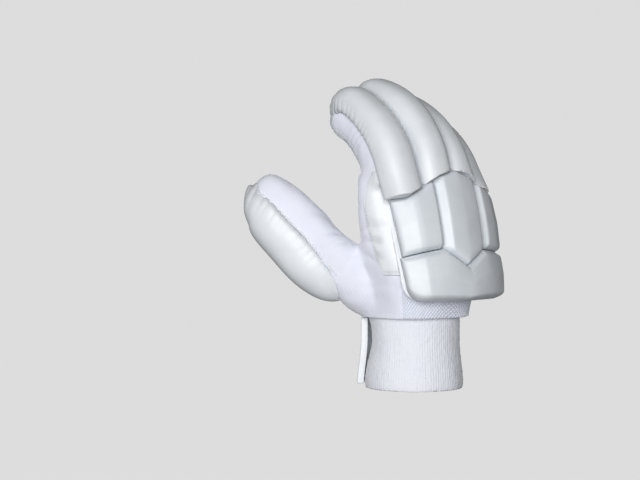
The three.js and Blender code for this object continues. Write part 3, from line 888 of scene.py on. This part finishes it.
# small creases in the lower pad, under the centre pad's point: their middle and reach across and up the back,
# how they slant, and how high and sharp they are
wornLook = {"at": (7, 23), "over": (8, 5), "slant": (0.75, -0.9), "wander": 2, "high": 0.45, "sharp": 0.5}
knuckleLines = ("lowerLine", "rollLine")
blocks = {
    # left and right ends at foot and head, as shares of the back's width, and how wide the sides' bevels are
    "index_knuckle_pad": {
        "left": (-0.44, -0.475), "right": (-0.14, -0.14), "bevels": (0.4, 0.1), "lines": knuckleLines,
    },
    "centre_knuckle_pad": {
        "left": (-0.14, -0.14), "right": (0.225, 0.225), "bevels": (0.14, 0.1), "lines": knuckleLines,
    },
    "little_knuckle_pad": {
        "left": (0.225, 0.225), "right": (0.57, 0.54), "bevels": (0.14, 0.22), "lines": knuckleLines,
    },
    "lower_back_pad": {
        "left": (-0.43, -0.455), "right": (0.55, 0.57), "bevels": (0.14, 0.09),
        "lines": ("footLine", "lowerLine"), "round": True,
    },
}
basePanel = {
    "left": (-0.458, -0.51), "right": (0.53, 0.56), "lines": ("footLine", "rollLine"), "round": True,
    "thick": 2.4, "voxel": 1.2, "rounds": 2,
}


def blockPoint(block, at, along, inset, out):
    # The point that is so far across and up a block, both as shares, and so far out
    start = mixed(*block["left"], along) * back["width"] + inset
    end = mixed(*block["right"], along) * back["width"] - inset
    u = mixed(start, end, at)
    foot, head = (lineAt(back[line], u) for line in block["lines"])
    if block.get("round"):
        reach = blockLook["corner"]
        short = clamped(1 - min(u - start, end - u) / reach)
        foot += reach * (1 - math.sqrt(1 - short * short))
    return backPoint(u, mixed(foot + inset, head - inset, along), out)


def section(corners, step, rounds):
    # Even steps along a line of (place, height) corners, with the corners rounded over
    line = []
    for a, b in zip(corners, corners[1:]):
        count = max(1, round(math.dist(a, b) / step))
        line += [(mixed(a[0], b[0], i / count), mixed(a[1], b[1], i / count)) for i in range(count)]
    line.append(corners[-1])
    for _ in range(rounds):
        inner = [
            ((a[0] + 2 * b[0] + c[0]) / 4, (a[1] + 2 * b[1] + c[1]) / 4)
            for a, b, c in zip(line, line[1:], line[2:])
        ]
        line = line[:1] + inner + line[-1:]
    return line


def cornerShares(block):
    # Where across a block its edge lines have corners
    shares = []
    for line, end in zip(block["lines"], (0, 1)):
        left, right = block["left"][end], block["right"][end]
        shares += [(u - left) / (right - left) for u, _ in back[line]]
    return [at for at in shares if 0.02 < at < 0.98]


def filled(marks, step):
    # The marks with even steps between them
    marks = sorted(set(marks))
    made = []
    for low, high in zip(marks, marks[1:]):
        made += evenly(low, high, max(1, round((high - low) / step)))[:-1]
    return made + [marks[-1]]


def makeBlock(name):
    block = blocks[name]
    thick, step, rounds = blockLook["thick"], blockLook["step"], blockLook["rounds"]
    width = (block["right"][0] - block["left"][0]) * back["width"]
    middle = (block["left"][0] + block["right"][0]) / 2 * back["width"]
    height = lineAt(back[block["lines"][1]], middle) - lineAt(back[block["lines"][0]], middle)
    near, far = (share * width for share in block["bevels"])
    foot, edge, crown = blockLook["foot"], blockLook["edge"], blockLook["crown"]
    across = section([
        (0, foot), (0, blockLook["thumbEdge"]), (near * 0.12, edge), (near, thick), (width / 2, crown),
        (width - far, thick), (width - far * 0.12, edge + 1), (width, edge), (width, foot),
    ], step, rounds)
    low, shoulder = blockLook["endBevel"], blockLook["shoulder"]
    first = blockLook["roundEdge"] if block.get("round") else edge
    along = section([
        (0, foot), (0, first), (low * 0.45, mixed(first, shoulder, 0.7)), (low, shoulder), (low * 2.4, thick),
        (height / 2, crown), (height - low * 2.4, thick), (height - low, shoulder), (height, edge),
        (height, foot),
    ], step, rounds)

    def place(i, j, top):
        (x, rise), (y, lift) = across[i], along[j]
        out = max(0.5, rise * lift / thick)
        point = blockPoint(block, x / width, y / height, blockLook["gap"] / 2, mixed(0.3, out, top))
        if top:
            u, v, out = backPlace(point)
            near = math.exp(-clamped(out - blockLook["below"], 0, 99) / blockLook["over"])
            pulls = math.sin(u * blockLook["every"]) + math.sin(v * blockLook["every"])
            lift = blockLook["pucker"] * (pulls * near * 0.5 + 1.2 * ripple((u, v, 0), 15, len(name)))
            if name == "lower_back_pad":
                apart = [(a - b) / c for a, b, c in zip((u, v), wornLook["at"], wornLook["over"])]
                worn = math.exp(-(apart[0] ** 2) - apart[1] ** 2)
                turn = u * wornLook["slant"][0] + v * wornLook["slant"][1]
                turn += wornLook["wander"] * ripple((u, v, 0), 6)
                lift -= wornLook["high"] * worn * (0.6 - abs(math.sin(turn)) ** wornLook["sharp"])
            point = backPoint(u, v, out + lift)
        return point

    bm = plate(list(range(len(across))), list(range(len(along))), place)
    # Painted shade, darker low on each block, towards the panel it sits on
    shadeAndTone(bm, lambda point: 0.7 * clamped(1 - (backPlace(point)[2] - 0.5) / 5))
    piece = finished(name + "_leather", bm, padLeather, [name])


def makeBasePanel():
    columns = filled([0, 1] + cornerShares(basePanel), 0.02)

    def place(at, along, top):
        return blockPoint(basePanel, at, mixed(0.02, 1, along), 0, mixed(-basePanel["thick"], 0, top))

    bm = softened(plate(columns, evenly(0, 1, 40), place), basePanel["voxel"], basePanel["rounds"])
    shadeAndTone(bm, lambda point: 0.1)
    finished("back_panel_leather", bm, whiteLeather, ["back_base_panel"])


for name in blocks:
    makeBlock(name)
makeBasePanel()
print("glove: back of the hand made")

# Cuff, strap

cuff = {
    "height": 66, "mouth": 42, "neck": 38.5, "neckShare": 0.64, "wall": 3, "turns": 240, "rows": 60,
    # how far the mouth is drawn in, and over what height
    "mouthRound": (1.6, 2.2),
    # the waist: how deep, how high up, over what height. The flare above: how far out, over what height.
    "waist": (3.2, 44, 17), "flare": (5, 5),
    # both lie on the thumb's side: at how many degrees, and how far round they reach
    "waistSide": 47, "waistReach": 0.3,
    # the towelling's loops, fine and coarse, and its slack: height, size and seed
    "pile": ((0.28, 1.6, 0), (0.22, 3.4, 4)), "slack": (0.7, 18, 9),
}
lint = {"seed": 11, "count": 1000, "reach": (0.5, 1.3), "bend": 0.7, "radius": 0.05}
strap = {
    "height": 56, "foot": 4, "wall": 2.4, "start": -112, "end": 52, "low": 0.65, "bevel": 0.9,
    # the free end stands off the cuff: how far, and over how many degrees
    "lift": 3.4, "liftOver": 30, "stitchIn": 2.6, "endIn": 4,
}
strapPatch = {"start": -34, "end": 22, "slant": 0.35, "margin": 8, "space": 0.4, "wall": 1.2, "bevel": 0.5}


def cuffRadius(height):
    return mixed(cuff["mouth"], cuff["neck"], eased(height, 0, cuff["height"] * cuff["neckShare"]))


def makeCuff():
    # One profile up the outside, over the top and down the inside, spun round
    heights = evenly(0, cuff["height"], cuff["rows"])
    line = [(cuffRadius(height) - 0.2, height) for height in heights]
    line += [(cuffRadius(height) - cuff["wall"], height) for height in reversed(heights)]
    bm = spun(line, cuff["turns"], closed=True)
    bmesh.ops.recalc_face_normals(bm, faces=bm.faces[:])
    bm.normal_update()

    def loops(point, normal):
        # A rounded mouth, the towelling's pile, slack, and a waist and flare on the thumb's side
        drawn, over = cuff["mouthRound"]
        mouth = math.exp(-point.z / over) * -drawn
        turn = math.atan2(-point.x, point.y) - math.radians(cuff["waistSide"])
        wide, over = cuff["flare"]
        flare = wide * math.exp((point.z - cuff["height"]) / over)
        deep, middle, over = cuff["waist"]
        flare -= deep * math.exp(-(((point.z - middle) / over) ** 2))
        flare *= math.exp(-turn * turn / cuff["waistReach"])
        pile = sum(high * ripple(point, size, seed) for high, size, seed in cuff["pile"])
        high, size, seed = cuff["slack"]
        slack = high * ripple((point.x, point.y, point.z * 0.3), size, seed)
        outside = eased(normal.dot(Vector((point.x, point.y, 0)).normalized()), -0.2, 0.2)
        return mouth + pile + (slack + flare) * outside

    pushed(bm, loops)
    shadeAndTone(bm)
    outside = [
        (corner.co.copy(), corner.normal.copy()) for corner in bm.verts if corner.normal.dot(corner.co) > 25
    ]
    finished("cuff_towelling", bm, terry, ["cuff"])
    return outside


def makeLint(outside):
    # Loose ends of the towelling's loops
    rng = random.Random(lint["seed"])
    lines = []
    for _ in range(lint["count"]):
        spot, normal = rng.choice(outside)
        across = Vector((0, 0, 1)).cross(normal).normalized()
        lean = across * rng.uniform(-1, 1) + Vector((0, 0, rng.uniform(-1, 1)))
        reach = rng.uniform(*lint["reach"])
        bend = lint["bend"] * reach
        lines.append([spot + normal * (reach * t) + lean * (bend * t * t) for t in (-0.2, 0.4, 0.8, 1)])
    tube("cuff_lint", lines, lint["radius"], terry, 0)


def strapPoint(degrees, height, out, lifted=1.0):
    # degrees: from the middle of the palm's side towards the thumb
    # lifted: the share of the free end's lift that this face of the strap has
    lift = strap["lift"] * lifted * eased(degrees, strap["end"] - strap["liftOver"], strap["end"])
    reach = cuffRadius(height) + out + lift
    angle = math.radians(degrees)
    return Vector((-reach * math.sin(angle), reach * math.cos(angle), height))


def makeStrap():
    foot, top = strap["foot"], strap["foot"] + strap["height"]

    def place(degrees, height, upper):
        return strapPoint(degrees, height, mixed(strap["low"], strap["low"] + strap["wall"], upper), upper)

    bm = plate(evenly(strap["start"], strap["end"], 120), evenly(foot, top, 50), place)
    bevelled(bm, 1, strap["bevel"], 4)
    shadeAndTone(bm)
    finished("strap_leather", bm, whiteLeather, ["wrist_strap"])
    high, margin = strap["low"] + strap["wall"] + strapPatch["space"], strapPatch["margin"]

    def patchPlace(share, height, upper):
        slanted = strapPatch["end"] + strapPatch["slant"] * (height - foot - margin)
        out = mixed(high, high + strapPatch["wall"], upper)
        return strapPoint(mixed(strapPatch["start"], slanted, share), height, out)

    bm = plate(evenly(0, 1, 50), evenly(foot + margin, top - margin, 40), patchPlace)
    bevelled(bm, 1, strapPatch["bevel"], 3)
    shadeAndTone(bm)
    finished("strap_patch_leather", bm, padLeather, ["strap_patch"])


makeLint(makeCuff())
makeStrap()
print("glove: cuff and strap made")

# Thin panels sewn on the cloth


def laid(outer, inner, lift, tree=clothTree):
    # A point on the cloth, straight in from outside
    way = (inner - outer).normalized()
    spot = tree.ray_cast(outer, way)[0]
    return (inner if spot is None else spot) - way * lift


def onHand(degrees, share, lift, tree=clothTree):
    return laid(handPoint(degrees, share, 10), handPoint(degrees, share, -8), lift, tree)


def onFinger(finger, degrees, along, lift):
    path, angle = fingerPath(finger, along), math.radians(degrees)
    side, rise = sleeveSizes(finger, along, 6)
    inner = path.ring(angle, 0.3 * side, 0.3 * rise, 0.3 * rise)
    return laid(path.ring(angle, side, rise, rise), inner, lift)


patches = {
    # rows: share up the hand, first and last degrees round it. Size and corners are in millimetres.
    "side_panel": {
        "rows": [(0.305, 12, 42), (0.45, 9, 46), (0.61, 6, 47), (0.78, 4, 46), (0.9, 13, 42), (1, 27, 35)],
        "lift": 1.9, "size": (38, 82), "corner": 7,
    },
    "wrist_panel": {
        "rows": [(0.015, 33.75, 146.25), (0.1, 33.75, 146.25), (0.2, 33.75, 146.25)],
        "lift": 1.3, "size": (128, 23), "corner": 2,
    },
    "palm_patch": {
        "rows": [(0.57, 226, 276), (0.74, 224, 280), (0.89, 226, 282)],
        "lift": 1.2, "size": (55, 39), "corner": 8,
    },
    "palm_point": {
        "rows": [(0.56, 299, 304), (0.7, 297, 316), (0.85, 294, 324), (0.96, 294, 324)],
        "lift": 1.2, "size": (26, 49), "corner": 2.5,
    },
}
fingerPatches = {
    # finger, first and last place along it, first and last degrees round it
    "index_palm_strip": ("index", 3, 50, 232, 306),
    "index_tip_patch": ("index", 52, 73, 230, 310),
    "middle_palm_patch": ("middle", 36, 70, 234, 306),
    "ring_palm_patch": ("ring", 30, 60, 234, 306),
    "little_palm_patch": ("little", 22, 46, 234, 306),
}
fingerPatchLook = {"width": 24, "lift": 1.2, "corner": 5}
patchBevel = {"offset": 0.3, "segments": 3, "sharpness": 0.9}
knit = {"across": 4.4, "up": 3.4, "high": 1.1, "low": 0.6, "step": 0.5}
sewing = {
    # inset and groove of a seam, then its threads, and how far these stand out. step is of a patch's mesh.
    "inset": 2.2, "groove": 0.55, "length": 2.0, "every": 3.0, "radius": 0.24, "proud": 0.05, "step": 0.9,
    "hem": 0.035, "fingerSides": (212, 328), "acrossStrap": (34, -50),
}


def cornered(x, y, size, corner):
    # Draws the ends of a unit square in, so that its corners are round on a piece of this size
    apart = min(y, 1 - y) * size[1]
    cut = corner - math.sqrt(corner * corner - (corner - min(apart, corner)) ** 2)
    return mixed(cut / size[0], 1 - cut / size[0], x), y


def stitches(name, lines):
    # Short rounded threads along lines of points
    bm = bmesh.new()
    for line in lines:
        walked, due = 0.0, 0.0
        for a, b in zip(line, line[1:]):
            step = (b - a).length
            while step > 0 and walked + step > due:
                way = (b - a).to_track_quat("Z", "Y").to_matrix().to_4x4()
                size = Matrix.Diagonal((sewing["radius"], sewing["radius"], sewing["length"] / 2, 1))
                spot = Matrix.Translation(a.lerp(b, (due - walked) / step))
                bmesh.ops.create_uvsphere(bm, u_segments=6, v_segments=4, radius=1, matrix=spot @ way @ size)
                due += sewing["every"]
            walked += step
    shadeAndTone(bm)
    finished(name, bm, thread)


def border(size, corner):
    # Places round a patch, just in from its edge
    x, y = sewing["inset"] / size[0], sewing["inset"] / size[1]
    line = [(mixed(x, 1 - x, t), y) for t in evenly(0, 1, 24)]
    line += [(1 - x, mixed(y, 1 - y, t)) for t in evenly(0, 1, 40)]
    line += [(mixed(1 - x, x, t), 1 - y) for t in evenly(0, 1, 24)]
    line += [(x, mixed(1 - y, y, t)) for t in evenly(0, 1, 40)]
    return [cornered(*spot, size, corner) for spot in line]


def makePatch(name, surface, finish, patch):
    size, lift, corner = patch["size"], patch["lift"], patch["corner"]
    knitted = name == "wrist_panel"
    step = knit["step"] if knitted else sewing["step"]
    columns, rows = round(size[0] / step), round(size[1] / step)

    def height(x, y):
        if knitted:
            across, up = math.pi * x * size[0] / knit["across"], math.pi * y * size[1] / knit["up"]
            bump = abs(math.sin(across + up) * math.sin(across - up)) ** 0.7
            return lift + knit["high"] * bump - knit["low"]
        apart = min(min(x, 1 - x) * size[0], min(y, 1 - y) * size[1])
        groove = sewing["groove"] * math.exp(-((apart - sewing["inset"]) ** 2))
        uneven = 0.15 * ripple((x * size[0], y * size[1], 0), 9)
        return lift * mixed(0.7, 1, eased(apart, 0, 1.2)) - groove + uneven

    def place(x, y, upper):
        high = height(x, y) if upper else 0.1
        return surface(*cornered(x, y, size, corner), high)

    bm = plate(evenly(0, 1, columns), evenly(0, 1, rows), place)
    if not knitted:
        bevelled(bm, **patchBevel)

    # Painted shade: a knit is darker in its hollows near the cloth, other patches where they sink towards the
    # cloth at their edges and seam groove
    def paintedShade(point):
        apart = clothTree.find_nearest(point)[3]
        return clamped((1.6 - apart) * 1.3) if knitted else 0.5 * clamped((lift - 0.15 - apart) / 0.5)

    shadeAndTone(bm, paintedShade)
    finished(name + "_sewn", bm, finish, [name])
    if not knitted:
        line = [surface(x, y, height(x, y) + sewing["proud"]) for x, y in border(size, corner)]
        stitches(name + "_stitches", [line])


for name, patch in patches.items():
    rows = patch["rows"]
    tree = plainTree if name == "side_panel" else clothTree

    def surface(x, y, lift, rows=rows, tree=tree):
        share = mixed(rows[0][0], rows[-1][0], y)
        start, end = between(rows, share)
        return onHand(mixed(start, end, x), share, lift, tree)

    finish = {"side_panel": whiteLeather, "wrist_panel": knitCloth}.get(name, palmLeather)
    makePatch(name, surface, finish, patch)

for name, (owner, low, high, start, end) in fingerPatches.items():
    finger = fingers[owner]

    def surface(x, y, lift, finger=finger, low=low, high=high, start=start, end=end):
        return onFinger(finger, mixed(start, end, x), mixed(low, high, y), lift)

    patch = {
        "size": (fingerPatchLook["width"] * finger["size"], high - low),
        "lift": fingerPatchLook["lift"], "corner": fingerPatchLook["corner"],
    }
    makePatch(name, surface, palmLeather, patch)


def makeSeams():
    # Along the fingers' sides, above the hem, and round the strap and across it
    proud = sewing["proud"]
    stitches("finger_seam_stitches", [
        [onFinger(finger, degrees, along, proud) for along in evenly(4, finger["length"] - 16, 60)]
        for finger in fingers.values() for degrees in sewing["fingerSides"]
    ])
    hem = [onHand(degrees, sewing["hem"], proud) for degrees in evenly(150, 390, 240)]
    stitches("hem_stitches", [hem])
    foot, top, out = strap["foot"], strap["foot"] + strap["height"], strap["low"] + strap["wall"] + proud
    start, end = strap["start"] + strap["endIn"], strap["end"] - strap["endIn"]
    lines = [
        [strapPoint(degrees, height, out) for degrees in evenly(start, end, 160)]
        for height in (foot + strap["stitchIn"], top - strap["stitchIn"])
    ]
    lines += [
        [strapPoint(degrees, height, out) for height in evenly(foot + 3, top - 3, 50)]
        for degrees in (end, *sewing["acrossStrap"])
    ]
    stitches("strap_stitches", lines)


makeSeams()
print("glove: sewn panels made")

# Camera, light and floor, as the photograph has them

stage = {
    # metres and degrees. focus, right and above are in pixels of a picture 640 wide: the lens, and how far
    # the target lies to the right of the picture's middle and above it
    "target": (0, 0, 0.13), "azimuth": -43, "elevation": 0.5, "distance": 1.3, "focus": 1529, "right": 94,
    "above": 5, "pictureWidth": 640, "sensor": 36, "backdrop": (0.716, 0.716, 0.716), "ambient": 0.22,
    "floor": -0.42, "floorReach": 1.6, "coveRadius": 1.4, "wallTop": 5,
}
lights = {
    "key": {"azimuth": -49, "elevation": 7, "distance": 1.7, "size": 1.0, "power": 28, "shine": True},
    "behind": {"azimuth": 137, "elevation": 8, "distance": 1.8, "size": 0.8, "power": 22, "shine": False},
}


def towards(azimuth, elevation):
    turn, lift = math.radians(azimuth), math.radians(elevation)
    return Vector((math.sin(turn) * math.cos(lift), -math.cos(turn) * math.cos(lift), math.sin(lift)))


def makeCamera():
    away = towards(stage["azimuth"], stage["elevation"])
    camera = linked("camera", bpy.data.cameras.new("camera"))
    camera.location = Vector(stage["target"]) + away * stage["distance"]
    look = -away
    look.rotate(Matrix.Rotation(math.atan(stage["right"] / stage["focus"]), 3, "Z"))
    level = look.cross(Vector((0, 0, 1))).normalized()
    look.rotate(Matrix.Rotation(-math.atan(stage["above"] / stage["focus"]), 3, level))
    camera.rotation_euler = look.to_track_quat("-Z", "Y").to_euler()
    camera.data.sensor_fit = "HORIZONTAL"
    camera.data.sensor_width = stage["sensor"]
    camera.data.lens = stage["sensor"] * stage["focus"] / stage["pictureWidth"]
    camera.data.clip_end = 50
    bpy.context.scene.camera = camera


def makeLight(name):
    look = lights[name]
    way = towards(look["azimuth"], look["elevation"])
    light = linked(name, bpy.data.lights.new(name, "AREA"))
    light.location = Vector(stage["target"]) + way * look["distance"]
    light.rotation_euler = (-way).to_track_quat("-Z", "Y").to_euler()
    light.data.size = look["size"]
    light.data.energy = look["power"]
    light.visible_glossy = look["shine"]


def makeBackdrop():
    # A pale floor that turns up into a wall all round. The glove isn't lit by it.
    floor, reach, cove = stage["floor"], stage["floorReach"], stage["coveRadius"]
    line = [(0, floor), (reach, floor)]
    for angle in evenly(0, math.pi / 2, 12)[1:]:
        line.append((reach + cove * math.sin(angle), floor + (cove - cove * math.cos(angle))))
    line.append((reach + cove, floor + stage["wallTop"]))
    bm = spun(line, 64)
    bmesh.ops.remove_doubles(bm, verts=bm.verts, dist=0.0001)
    finish = Finish("backdrop", 1.0, specular=0.0)
    finish.set("Base Color", (0.02, 0.02, 0.02, 1))
    finish.set("Emission Color", (*stage["backdrop"], 1))
    finish.set("Emission Strength", 1.0)
    backdrop = meshed("backdrop", bm, finish.material)
    backdrop.visible_diffuse = False
    backdrop.visible_glossy = False
    backdrop.visible_shadow = False


def makeWorld():
    world = bpy.data.worlds.new("studio")
    world.use_nodes = True
    background = world.node_tree.nodes["Background"]
    background.inputs["Color"].default_value = (0.72, 0.72, 0.72, 1)
    background.inputs["Strength"].default_value = stage["ambient"]
    bpy.context.scene.world = world


makeCamera()
makeBackdrop()
for name in lights:
    makeLight(name)
makeWorld()
bpy.context.scene.view_settings.view_transform = "Standard"
print("glove: camera, lights and floor made")
